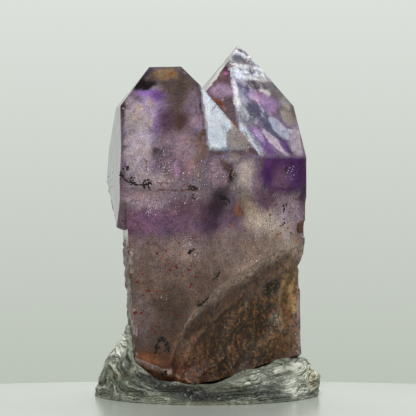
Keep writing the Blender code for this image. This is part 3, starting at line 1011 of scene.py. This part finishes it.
# Red iron flakes: pixel x, pixel y, width in mm; then small ones in boxes and some behind
redFlakes = {
    "spots": (
        (123, 221, .26), (204, 219, .34), (125.5, 240.5, .3), (148, 243, .28), (157, 243, .24),
        (175, 239, .22), (179, 243, .24), (193, 238, .3), (166, 251, .36), (157, 253, .42),
        (161, 258, .24), (168.5, 263.5, .36), (180, 263, .3), (176, 267, .55), (170, 270, .46),
        (189, 270, .46), (191, 266, .32), (130.5, 274, .4), (143, 274, .32), (137, 282, .46),
        (196, 277, .46), (192, 284, .36), (190, 287, .32), (147, 291, .42), (150, 291, .4),
        (157, 291, .26), (160, 291, .32), (164, 292, .3), (135, 313, .46), (142, 313, .4),
        (150, 314, .26), (169, 315, .28), (175, 314, .22), (182, 316, .42), (158, 320, .3),
        (156, 326, .34), (152, 329, .34), (155, 332, .42), (161, 333, .3), (147, 336, .28),
        (126, 247, .3), (183, 276, .26), (151, 270, .18), (161, 271, .18), (188, 299, .24),
        (280, 226, .3), (278, 234, .28), (288, 228, .3), (291, 233, .26), (270, 215, .26),
        (283, 205, .3), (276, 204, .26), (296, 199, .3), (272, 231, .28), (281, 233, .24),
        (295, 216, .26), (284, 219, .22), (266, 221, .24), (289, 212, .26), (300, 205, .22),
    ),
    "boxes": ((124, 230, 200, 345, 150), (262, 196, 302, 236, 70), (200, 236, 262, 285, 26)),
    "behind": 240, "sector": (80.0, 280.0), "heights": (14.0, 42.0),
    "widen": 1.35, "boxWidth": (0.06, 0.16), "behindWidth": (0.12, 0.4),
    "longer": (1.0, 1.4), "narrow": 0.85, "turn": (-30.0, 30.0),
    "thickness": 0.03, "lift": 0.02, "sides": 6,
    "colours": ((110, 6, 4), (80, 5, 4)), "roughness": 0.6, "patch": 0.4,
}


def addRedFlakes(setup):
    # the named flakes, then the small ones, then those behind, in one piece
    redX, redY, redWide = np.array(setup["spots"]).T
    small = spread(setup["boxes"])
    front = seenOnSkin(np.concatenate([np.column_stack([redX, redY]), small]))
    behind = aroundSkin(setup["behind"], setup["sector"], setup["heights"])
    hits = [np.concatenate(rows) for rows in zip(front, behind)]
    wide = np.concatenate([
        redWide * setup["widen"], drawn(setup["boxWidth"], len(small)),
        drawn(setup["behindWidth"], setup["behind"]),
    ])
    long = wide * drawn(setup["longer"], len(wide))
    turns = drawn(setup["turn"], len(wide))
    material = flakeMaterial("hematite_red", setup)
    makeFlakes("hematite_flakes", setup, material, hits, long, wide * setup["narrow"], turns)


addRedFlakes(redFlakes)

# Black branching growths: boxes of pixels with a count, and lines; then finer black dust
blackGrowths = {
    "boxes": (
        (122, 166, 130, 170, 16), (120, 172, 124, 179, 14), (128, 177, 135, 181, 12),
        (143, 180, 152, 186, 30), (188, 185, 198, 191, 30), (191, 194, 195, 199, 6),
        (218, 196, 230, 200, 16), (222, 198, 227, 206, 10), (156, 338, 168, 342, 16),
        (154, 346, 160, 354, 14), (164, 344, 170, 354, 16), (161, 371, 168, 375, 12),
        (188, 250, 194, 256, 12), (213, 272, 220, 280, 12), (197, 300, 208, 306, 12),
        (282, 204, 288, 226, 14), (282, 166, 290, 172, 10), (156, 160, 162, 168, 6),
    ),
    "lines": (
        ((121, 174), (124, 179), (128, 182), (136, 183)), ((131, 184), (140, 185), (150, 184)),
        ((143, 184), (145, 189)), ((147, 185), (150, 190)), ((218, 196), (226, 197), (230, 203)),
        ((156, 350), (157, 344), (162, 339), (166, 342), (169, 347), (168, 352)),
        ((160, 338), (164, 337)), ((162, 374), (167, 371)), ((198, 306), (204, 302), (209, 297)),
        ((213, 280), (220, 272)), ((188, 253), (194, 249)),
    ),
    "gap": 0.7, "jitter": 0.35, "length": (0.24, 0.56), "narrow": (0.4, 0.8), "turn": (-90.0, 90.0),
    "thickness": 0.03, "lift": 0.03, "sides": 5,
    "colours": ((6, 4, 4), (20, 12, 9)), "roughness": 0.75, "patch": 0.3,
}
blackDust = {
    "boxes": (
        (205, 236, 262, 262, 80), (126, 250, 130, 300, 24), (205, 160, 240, 190, 24),
        (227, 130, 250, 152, 130), (124, 96, 150, 135, 20), (160, 140, 200, 160, 24),
        (284, 100, 300, 130, 30), (236, 100, 285, 140, 60), (234, 54, 256, 66, 16),
        (176, 320, 290, 376, 160), (126, 196, 200, 235, 60), (250, 180, 300, 236, 90),
        (130, 240, 200, 345, 90),
    ),
    "length": (0.1, 0.3), "narrow": (0.5, 0.9), "turn": (-90.0, 90.0),
    "thickness": 0.02, "lift": 0.02, "sides": 5,
}
blackFinish = flakeMaterial("goethite_black", blackGrowths)
boxSpots = spread(blackGrowths["boxes"])
boxTurns = drawn(blackGrowths["turn"], len(boxSpots))
lineSpots, lineTurns = alongLines(blackGrowths)
addFlakes("goethite_growths", blackGrowths, blackFinish,
          np.concatenate([boxSpots, lineSpots]), np.concatenate([boxTurns, lineTurns]))
addFlakes("goethite_dust", blackDust, blackFinish, spread(blackDust["boxes"]))

# Brown threads: lines of pixels
brownThreads = {
    "lines": (
        ((146, 160), (146.5, 166), (146, 171)), ((144, 159), (148, 162)),
        ((157, 191), (163, 190), (180, 190.5), (197, 190)), ((160, 186), (163, 182), (168, 184)),
        ((180, 190), (184, 184), (189, 184), (195, 188)), ((186, 187), (198, 188)),
        ((188, 190), (198, 191)), ((163, 187), (160, 190)), ((156, 182), (163, 184)),
        ((119.5, 182), (121, 184)), ((235, 176), (229, 170)), ((212, 110), (220, 100)),
        ((200, 178), (201, 166)),
    ),
    "gap": 0.45, "jitter": 0.25, "length": (0.18, 0.36), "narrow": 0.45,
    "thickness": 0.012, "lift": 0.012, "sides": 5,
    "colours": ((72, 34, 18), (110, 58, 28)), "roughness": 0.35, "patch": 0.4,
}
brownFinish = flakeMaterial("iron_brown", brownThreads)
addFlakes("iron_threads", brownThreads, brownFinish, *alongLines(brownThreads))

# Bright flaws: small glassy cracks, painted near white as glints of the light that they catch, a
# few of them larger
flawsAndGlints = {
    "boxes": (
        (148, 160, 195, 215, 80), (160, 166, 172, 174, 30), (147, 168, 154, 178, 18),
        (148, 206, 150, 216, 12), (183, 236, 192, 246, 22), (205, 158, 240, 192, 48),
        (284, 166, 294, 180, 26), (188, 250, 200, 262, 10), (160, 148, 170, 156, 14),
        (284, 234, 290, 246, 16), (268, 315, 280, 326, 14), (123, 106, 125, 109, 3),
        (183, 71, 186, 74, 4), (240, 108, 282, 140, 60), (290, 126, 300, 136, 10),
        (196, 160, 206, 190, 20), (236, 252, 262, 262, 10), (292, 322, 303, 352, 22),
        (161, 296, 168, 300, 4), (227, 132, 250, 152, 60),
    ),
    "length": (0.08, 0.24), "larger": (0.95, 1.8), "narrow": (0.5, 1.0), "turn": (-90.0, 90.0),
    "thickness": 0.012, "lift": 0.012, "sides": 5,
    "colours": ((226, 220, 228), (186, 174, 190)), "roughness": 0.12, "patch": 0.5,
}

# Pale needles that run from the upper left to the lower right
paleNeedles = {
    "boxes": ((208, 158, 240, 190, 18), (255, 195, 285, 240, 18), (128, 198, 200, 216, 10)),
    "length": (0.6, 1.6), "width": 0.07, "turn": (-58.0, 14.0, "bell"),
    "thickness": 0.012, "lift": 0.012, "sides": 6,
    "colours": ((206, 190, 196), (176, 158, 160)), "roughness": 0.25, "patch": 0.6,
}

# Orange stains inside the break and beside it
orangeStains = {
    "boxes": (
        (180, 285, 262, 335, 60), (150, 345, 215, 380, 90), (236, 205, 241, 216, 20),
        (232, 222, 236, 228, 8), (231, 273, 241, 280, 14), (291, 238, 303, 247, 24),
        (286, 306, 300, 324, 40), (262, 318, 296, 350, 40), (205, 275, 250, 300, 24),
        (136, 352, 160, 366, 30),
    ),
    "length": (0.1, 0.34), "narrow": (0.3, 0.7), "turn": (50.0, 25.0, "bell"),
    "thickness": 0.01, "lift": 0.012, "sides": 5,
    "colours": ((150, 78, 34), (118, 74, 40)), "roughness": 0.6, "patch": 0.4,
}
for pieceName, finishName, setup in (
    ("flaws_and_glints", "flaws_and_glints", flawsAndGlints),
    ("pale_needles", "pale_needles", paleNeedles),
    ("iron_stains", "iron_orange", orangeStains),
):
    addFlakes(pieceName, setup, flakeMaterial(finishName, setup), spread(setup["boxes"]))


# The putty

# Crown height of the putty by azimuth, as in the solid
puttyCrown = (
    (-180, 11.0), (-120, 9.5), (-85, 15.5), (-58, 21.0), (-28, 8.0), (0, 4.4),
    (45, 6.3), (90, 9.4), (135, 10.0), (180, 11.0),
)
# Left outline of the putty: height, distance to the left of the middle
puttyLeft = (
    (0.0, 20.9), (1.5, 20.6), (3.6, 19.9), (7.2, 18.5), (10.8, 15.9), (14.4, 14.2), (20.0, 13.5),
)

puttyMake = {
    "slicePitch": 0.6,
    "openFrom": (0.45, 1.3),            # distance from the stone where the folds begin
    "openAbove": (0.02, 0.6),           # height above the ground where they begin
    "wall": ((0.1, 0.2), (0.55, 0.45)),     # distances of the hollow's wall from the stone
    "cling": 0.34,                      # how far that wall is drawn towards the stone
    "folds": 6.0,                       # from the ground to the crown
    "foldHeight": 0.62,
    "foldStrength": (0.55, 0.45),       # least strength, and what noise adds
    "strengthNoise": (4.0, 1, 95),      # noises: size, layers, seed
    "waver": 0.9,                       # folds
    "waverNoise": (5.0, 3, 91),
    "lineHeight": 0.10,
    "linesPerFold": 3.0,
    "lineWaver": 3.0,
    "lineNoise": (3.0, 1, 97),
    "tornFrom": (17.0, 19.5),           # places from left to right where the torn end begins
    "crumbHeight": 0.55,
    "crumbNoise": (1.5, 3, 99),
    "footHeights": (1.5, 5.0),          # heights between which the front rim begins to hang lower
    "sharpAngle": 50.0,
}


def makePutty(setup, material):
    # the solid's faces cut fine, then moved along their normals by folds, lines and crumbs
    mesh = skinMesh("putty_skin", mergedCopy("putty_base"), setup["slicePitch"])
    points, normals = readRows(mesh, "co"), readRows(mesh, "normal")
    stone = hullDepths(points, "stem")
    outside = -stone.min(axis=1)
    openSide = easeBetween(*setup["openFrom"], outside)
    openSide *= easeBetween(*setup["openAbove"], points[:, 2])
    # the wall of the hollow clings to the stone
    inner, outer = setup["wall"]
    wall = easeBetween(*inner, outside) * easeBetween(*outer, outside)
    towards = -faceTable(grownHulls["stem"])[0][stone.argmin(axis=1)]
    points = points + towards * (setup["cling"] * mm * wall)[:, None]
    # the left flank is pressed flat along its outline
    heights, reach = np.array(puttyLeft).T * mm
    points[:, 0] = np.maximum(points[:, 0], -np.interp(points[:, 2], heights, reach))
    azimuth = np.degrees(np.arctan2(points[:, 0], -points[:, 1]))
    crown = np.interp(azimuth, *np.array(puttyCrown).T) * mm
    # phase: folds counted up to the crown, and lines inside each fold
    phase = setup["folds"] * points[:, 2] / crown
    phase += setup["waver"] * layeredNoise(points, *setup["waverNoise"])
    ridge = 1.0 - 2.0 * np.abs(np.mod(phase, 1.0) - 0.5) ** 0.8
    least, added = setup["foldStrength"]
    fold = (ridge - 0.5) * (least + added * layeredNoise(points, *setup["strengthNoise"]))
    bend = setup["lineWaver"] * layeredNoise(points, *setup["lineNoise"])
    lines = np.sin(2.0 * math.pi * phase * setup["linesPerFold"] + bend)
    relief = openSide * (setup["foldHeight"] * fold + setup["lineHeight"] * lines)
    torn = openSide * easeBetween(*setup["tornFrom"], points[:, 0])
    relief += torn * setup["crumbHeight"] * (layeredNoise(points, *setup["crumbNoise"]) - 0.3)
    points = lowerFoot(points + normals * relief[:, None] * mm, *setup["footHeights"])
    points[:, 2] = np.maximum(points[:, 2], 0.0)
    mesh.vertices.foreach_set("co", points.ravel())
    # how high each point sits in its fold: it sets the painted shade in the folds and the painted
    # highlight on the crests, and the glints and roughness
    crest = np.clip(0.5 + fold * 0.9 * openSide + 0.12 * lines, 0.0, 1.0)
    storeMask(mesh, "fold", phase)
    storeMask(mesh, "crest", crest)
    paintPutty(mesh, pictureOf(points), crest, puttyFinish)
    return skinObject(mesh, material, setup["sharpAngle"])


# Light and dark parts of the putty, zones as on the crystal: the light ones are mostly painted
# highlights on the left heap and the right end; the dark ones are painted shadow under the
# crystal's foot and painted shade in the creases
puttyZones = (
    ((113, 347), 2.4, 2.2, -30, (230, 235, 222), 0.75, 1.0),
    ((121, 336), 0.8, 1.8, 10, (226, 230, 218), 0.7, 0.9),
    ((98, 372), 0.5, 3.6, 24, (206, 210, 198), 0.7, 0.8),
    ((105, 366), 1.6, 2.4, 30, (150, 156, 138), 0.6, 1.0),
    ((104, 386), 2.0, 1.6, 20, (112, 116, 96), 0.6, 1.0),
    ((117, 378), 1.4, 2.6, 20, (92, 97, 80), 0.6, 1.0),
    ((126, 371), 0.7, 2.6, 24, (52, 56, 46), 0.8, 0.8),
    ((130, 386), 1.6, 1.6, 0, (96, 100, 82), 0.6, 1.0),
    ((150, 379), 3.4, 1.0, 14, (28, 30, 24), 0.9, 0.8),
    ((172, 388), 5.0, 1.0, 6, (34, 36, 29), 0.9, 0.9),
    ((139, 394), 1.4, 1.0, 0, (46, 49, 40), 0.7, 1.0),
    ((160, 400), 3.6, 0.6, 3, (122, 125, 104), 0.7, 0.9),
    ((203, 395), 5.8, 1.5, 4, (15, 16, 12), 0.95, 0.9),
    ((240, 392), 3.6, 1.2, -6, (58, 61, 50), 0.85, 0.9),
    ((222, 387), 3.6, 0.6, -10, (112, 116, 102), 0.7, 0.8),
    ((254, 379), 4.0, 0.6, -14, (186, 190, 176), 0.75, 0.8),
    ((262, 386), 3.6, 0.5, -8, (58, 60, 52), 0.7, 0.8),
    ((272, 393), 3.6, 1.3, 4, (104, 108, 104), 0.7, 0.9),
    ((288, 368), 3.2, 0.7, -16, (220, 223, 208), 0.8, 0.8),
    ((284, 374), 3.6, 0.35, -12, (58, 60, 50), 0.7, 0.8),
    ((298, 388), 2.6, 1.8, 10, (232, 236, 222), 0.85, 1.0),
    ((304, 371), 1.9, 1.6, 0, (220, 224, 206), 0.8, 1.0),
    ((313, 378), 1.0, 2.4, 0, (190, 184, 150), 0.8, 1.0),
    ((206, 405), 9.0, 0.35, 0, (150, 148, 122), 0.6, 0.9),
)


puttyFinish = {
    # dark, middle and light: painted shade in the folds, the putty's middle tone, painted highlight
    # on the crests; the crest light darkens the zones in the folds and lightens them on the crests
    "dark": (44, 48, 40),
    "middle": (132, 138, 124),
    "light": (214, 220, 208),
    "beige": (168, 158, 122),
    "glint": (238, 241, 232),
    "crestLight": (0.62, 0.76),         # light of a zone in the folds, and what the crests add
    "linesPerFold": 3.0,
    "lineBend": 9.0,
    "roughness": (0.5, 0.26),           # in the folds and on the crests
}


def paintPutty(mesh, seen, crest, setup):
    # colour of every point: painted shade in the folds, painted highlight on the crests, then the
    # zones over it
    low, high = smoothStep(0.1, 0.55, crest), smoothStep(0.5, 0.95, crest)
    colour = np.tile(tint(*setup["dark"])[:3], (len(crest), 1))
    colour = layOver(layOver(colour, setup["middle"], low), setup["light"], high)
    least, added = setup["crestLight"]
    storeColour(mesh, paintZones(colour, seen, puttyZones, light=(least + added * crest)[:, None]))


def puttyMaterial(setup):
    # painted colour with patches, kneading lines, glints and pores
    sheet = NodeSheet("putty")
    crest = sheet.attribute("crest")
    patch = sheet.noise(2.4, 5.0, 0.65)
    level = sheet.maths("MULTIPLY", sheet.maths("SUBTRACT", patch, 0.5), 0.9)
    level = sheet.maths("ADD", crest, level)
    colour = sheet.attribute("tone", "Color")
    colour = sheet.scaled(colour, (0.4, 0.41, 0.38), sheet.ease(patch, 0.48, 0.3, 0.0, 0.8))
    colour = sheet.scaled(colour, (1.7, 1.7, 1.7), sheet.ease(patch, 0.52, 0.7, 0.0, 0.7))
    # kneading lines: some to a fold, bent by noise, with painted shade in their grooves and painted
    # highlight on their crests
    bend = sheet.maths("MULTIPLY", sheet.noise(1.6, 4.0, 0.6), setup["lineBend"])
    turn = sheet.maths("MULTIPLY", sheet.attribute("fold"), setup["linesPerFold"] * 2.0 * math.pi)
    wave = sheet.maths("SINE", sheet.maths("ADD", turn, bend))
    kneaded = sheet.ease(sheet.noise(2.2, 3.0, 0.6, (0.01, 0.02, 0.0)), 0.4, 0.56)
    for low, high, strength, factors in (
        (-0.35, -0.9, 0.85, (0.28, 0.29, 0.26)), (0.3, 0.9, 0.7, (1.6, 1.6, 1.6)),
    ):
        amount = sheet.maths("MULTIPLY", sheet.ease(wave, low, high, 0.0, strength), kneaded)
        colour = sheet.scaled(colour, factors, amount)
    glint = sheet.ease(sheet.noise(0.5, 4.0, 0.75, (0.05, 0.02, 0.0)), 0.55, 0.66)
    glint = sheet.maths("MULTIPLY", glint, sheet.ease(level, 0.45, 0.75, 0.0, 0.8))
    colour = sheet.blend(glint, colour, tint(*setup["glint"]))
    pore = sheet.noise(0.45, 4.0, 0.75, (0.0, 0.05, 0.03))
    colour = sheet.scaled(colour, (0.35, 0.35, 0.32), sheet.ease(pore, 0.56, 0.68, 0.0, 0.7))
    beige = sheet.ease(sheet.noise(4.0, 4.0, 0.6, (0.03, 0.0, 0.0)), 0.58, 0.72, 0.0, 0.5)
    colour = sheet.blend(beige, colour, tint(*setup["beige"]))
    sheet.put(sheet.shader.inputs["Base Color"], colour)
    sheet.put(sheet.shader.inputs["Roughness"], sheet.ease(level, 0.2, 0.9, *setup["roughness"]))
    # fine grain, the kneading lines and long level creases
    bumps = sheet.bump(sheet.noise(0.4, 3.0, 0.6), 0.12, 0.6)
    bumps = sheet.bump(sheet.maths("MULTIPLY", wave, kneaded), 0.10, 0.8, bumps)
    bumps = sheet.bump(sheet.noise(1.0, 4.0, 0.7, stretch=(3.2, 3.2, 0.5)), 0.4, 0.7, bumps)
    sheet.put(sheet.shader.inputs["Normal"], bumps)
    return sheet.material


puttySkin = makePutty(puttyMake, puttyMaterial(puttyFinish))
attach(puttySkin, "root")
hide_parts("putty_base")


# Floor, light and surroundings

stageSetup = {
    "radius": 150.0,
    "middle": -124.0,               # the floor ends a little behind the putty
    "drop": 0.02,
    # rings from the middle outwards: share of the radius, height; the last ones roll over the edge
    "rings": ((1e-4, 0.0), (0.25, 0.0), (0.5, 0.0), (0.75, 0.0), (0.985, 0.0), (0.997, -0.12),
              (1.0, -0.5), (1.0, -4.0)),
    "corners": 192,
    "colours": ((182, 188, 180), (192, 197, 190)),
    "cloud": 30.0,
    "roughness": 0.22,
}


def makeFloor(setup):
    # a round table top: rings of points about its middle
    turns = np.linspace(0.0, 2.0 * math.pi, setup["corners"], endpoint=False)
    share, height = np.array(setup["rings"]).T
    reach = setup["radius"] * mm * share
    points = np.stack([
        np.outer(reach, np.cos(turns)).ravel(),
        np.outer(reach, np.sin(turns)).ravel() + setup["middle"] * mm,
        np.repeat((height - setup["drop"]) * mm, len(turns)),
    ], axis=1)
    ring = np.arange(len(turns))
    after = np.roll(ring, -1)
    rows = np.arange(len(reach) - 1)[:, None] * len(turns)
    outer = rows + len(turns)
    quads = np.stack([rows + ring, outer + ring, outer + after, rows + after], axis=2)
    sheet = NodeSheet("floor")
    first, second = (tint(*colour) for colour in setup["colours"])
    cloudy = sheet.blend(sheet.noise(setup["cloud"], 2.0), first, second)
    sheet.put(sheet.shader.inputs["Base Color"], cloudy)
    sheet.shader.inputs["Roughness"].default_value = setup["roughness"]
    floor = meshObject("floor", points, quads.reshape(-1, 4), sheet.material)
    floor.data.shade_smooth()


lightSetup = (
    # name, direction from the crystal, distance, side, watts, colour
    ("keyAbove", (-0.10, -0.80, 0.62), 470.0, 150.0, 1.9, (1.0, 0.99, 0.97)),
    ("softboxTop", (0.05, 0.62, 0.78), 450.0, 330.0, 1.2, (1.0, 1.0, 0.98)),
)
lightAim = Vector((0.0, 0.0, 35.0)) * mm

# The bluish softbox that the right face of the left tip mirrors; it ends just before the right tip
softboxSetup = {
    "seenAt": (205, 115),           # pixel of the face that mirrors its right part
    "face": (38.7, 38.2, 39.90),
    "distance": 420.0,
    "side": 80.0,
    "shift": 27.0,                  # from the mirrored point towards the left
    "watts": 0.1,
    "colour": (0.86, 0.93, 1.0),
}


def squareLight(name, side, watts, colour):
    # a square area light, still at the origin
    data = bpy.data.lights.new(name, "AREA")
    data.shape = "SQUARE"
    data.size = side * mm
    data.energy = watts
    data.color = colour
    return linked(name, data)


def makeLights(rows):
    # each light stands off the aim along its direction and faces it
    for name, direction, distance, side, watts, colour in rows:
        light = squareLight(name, side, watts, colour)
        toward = Vector(direction).normalized()
        light.location = lightAim + toward * distance * mm
        light.rotation_euler = toward.to_track_quat("Z", "Y").to_euler()


def makeSoftbox(setup):
    # the line of sight through the pixel, mirrored at the face, points at the light
    normals, away = faceTable([setup["face"]])
    normal = Vector(normals[0])

    def mirrored(x, y):
        look = lookThrough(x, y)
        place = cameraPlace + look * ((away[0] - normal.dot(cameraPlace)) / normal.dot(look))
        return place + look.reflect(normal) * setup["distance"] * mm, look.reflect(normal)

    x, y = setup["seenAt"]
    centre, toward = mirrored(x, y)
    beside = (mirrored(x + 10, y)[0] - centre).normalized()
    up = toward.cross(beside).normalized()
    flat = (beside - toward * beside.dot(toward)).normalized()
    light = squareLight("softboxRight", setup["side"], setup["watts"], setup["colour"])
    light.matrix_world = Matrix((
        (*flat, 0.0), (*up, 0.0), (*toward, 0.0), (0.0, 0.0, 0.0, 1.0),
    )).transposed()
    light.matrix_world.translation = centre - beside * setup["shift"] * mm


worldSetup = {
    "horizon": (-0.12, 0.08),       # rise of the view where the backdrop fades
    "backdrop": (tint(182, 189, 178), tint(221, 226, 220)),
    "frontToBack": (0.3, 0.9),      # share of the way to the back where the room's light fades
    "room": ((0.12, 0.125, 0.12, 1.0), (0.75, 0.78, 0.74, 1.0)),
}


def makeWorld(setup):
    # a pale backdrop for the camera; for the crystal, a room darker in front than behind
    world = bpy.data.worlds.new("studio")
    bpy.context.scene.world = world
    world.use_nodes = True
    nodes, links = world.node_tree.nodes, world.node_tree.links
    split = nodes.new("ShaderNodeSeparateXYZ")
    links.new(nodes.new("ShaderNodeTexCoord").outputs["Generated"], split.inputs[0])
    seen, felt = nodes.new("ShaderNodeValToRGB"), nodes.new("ShaderNodeValToRGB")
    fade = nodes.new("ShaderNodeMapRange")
    fade.inputs["From Min"].default_value, fade.inputs["From Max"].default_value = setup["horizon"]
    links.new(split.outputs["Z"], fade.inputs["Value"])
    links.new(fade.outputs[0], seen.inputs["Fac"])
    links.new(split.outputs["Y"], felt.inputs["Fac"])
    for end in range(2):
        seen.color_ramp.elements[end].color = setup["backdrop"][end]
        felt.color_ramp.elements[end].color = setup["room"][end]
    for end in (1, 0):
        felt.color_ramp.elements[end].position = setup["frontToBack"][end]
    mix = nodes.new("ShaderNodeMix")
    mix.data_type = "RGBA"
    links.new(nodes.new("ShaderNodeLightPath").outputs["Is Camera Ray"], mix.inputs["Factor"])
    links.new(felt.outputs["Color"], mix.inputs[6])
    links.new(seen.outputs["Color"], mix.inputs[7])
    links.new(mix.outputs[2], nodes["Background"].inputs["Color"])
    bpy.context.scene.view_settings.view_transform = "Standard"


makeFloor(stageSetup)
makeLights(lightSetup)
makeSoftbox(softboxSetup)
makeWorld(worldSetup)
print("floor, lights and world made")
